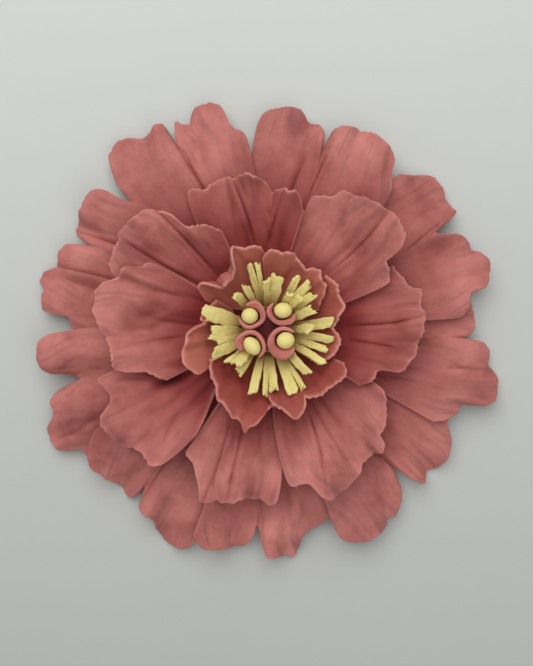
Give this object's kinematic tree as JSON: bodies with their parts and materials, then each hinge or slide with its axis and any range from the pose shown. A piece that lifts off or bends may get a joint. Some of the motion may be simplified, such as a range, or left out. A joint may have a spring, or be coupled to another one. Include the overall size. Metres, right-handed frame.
{
  "type": "handmade peony flower",
  "caption": "Open peony cut from sheet foam, with rings of lobed petals, a fringe of yellow stamens and curled carpels on a flat round back.",
  "frame": {"origin": "middle of the flat back of the backing disc", "axes": "+Z out of the flower's face, +Y towards the top of the flower as pictured, +X to its right"},
  "size_m": [0.3026, 0.297, 0.0516],
  "materials": {
    "pink_foam": "matte foam sheet, dusty coral pink",
    "yellow_foam": "matte foam sheet, pale yellow"
  },
  "bodies": {
    "root": {"backing_disc": "pink_foam", "centre_plug": "pink_foam", "outer_petal_1": "pink_foam", "outer_petal_2": "pink_foam", "outer_petal_3": "pink_foam", "outer_petal_4": "pink_foam", "outer_petal_5": "pink_foam", "outer_petal_6": "pink_foam", "outer_petal_7": "pink_foam", "outer_petal_8": "pink_foam", "outer_petal_9": "pink_foam", "middle_petal_1": "pink_foam", "middle_petal_2": "pink_foam", "middle_petal_3": "pink_foam", "middle_petal_4": "pink_foam", "middle_petal_5": "pink_foam", "middle_petal_6": "pink_foam", "middle_petal_7": "pink_foam", "middle_petal_8": "pink_foam", "inner_petal_1": "pink_foam", "inner_petal_2": "pink_foam", "inner_petal_3": "pink_foam", "inner_petal_4": "pink_foam", "inner_petal_5": "pink_foam", "inner_petal_6": "pink_foam", "carpel_1": "pink_foam", "carpel_2": "pink_foam", "carpel_3": "pink_foam", "carpel_4": "pink_foam", "stamen_fringe_lower": "yellow_foam", "stamen_fringe_upper": "yellow_foam", "pistil_1": "yellow_foam", "pistil_2": "yellow_foam", "pistil_3": "yellow_foam", "pistil_4": "yellow_foam"}
  },
  "joints": []
}
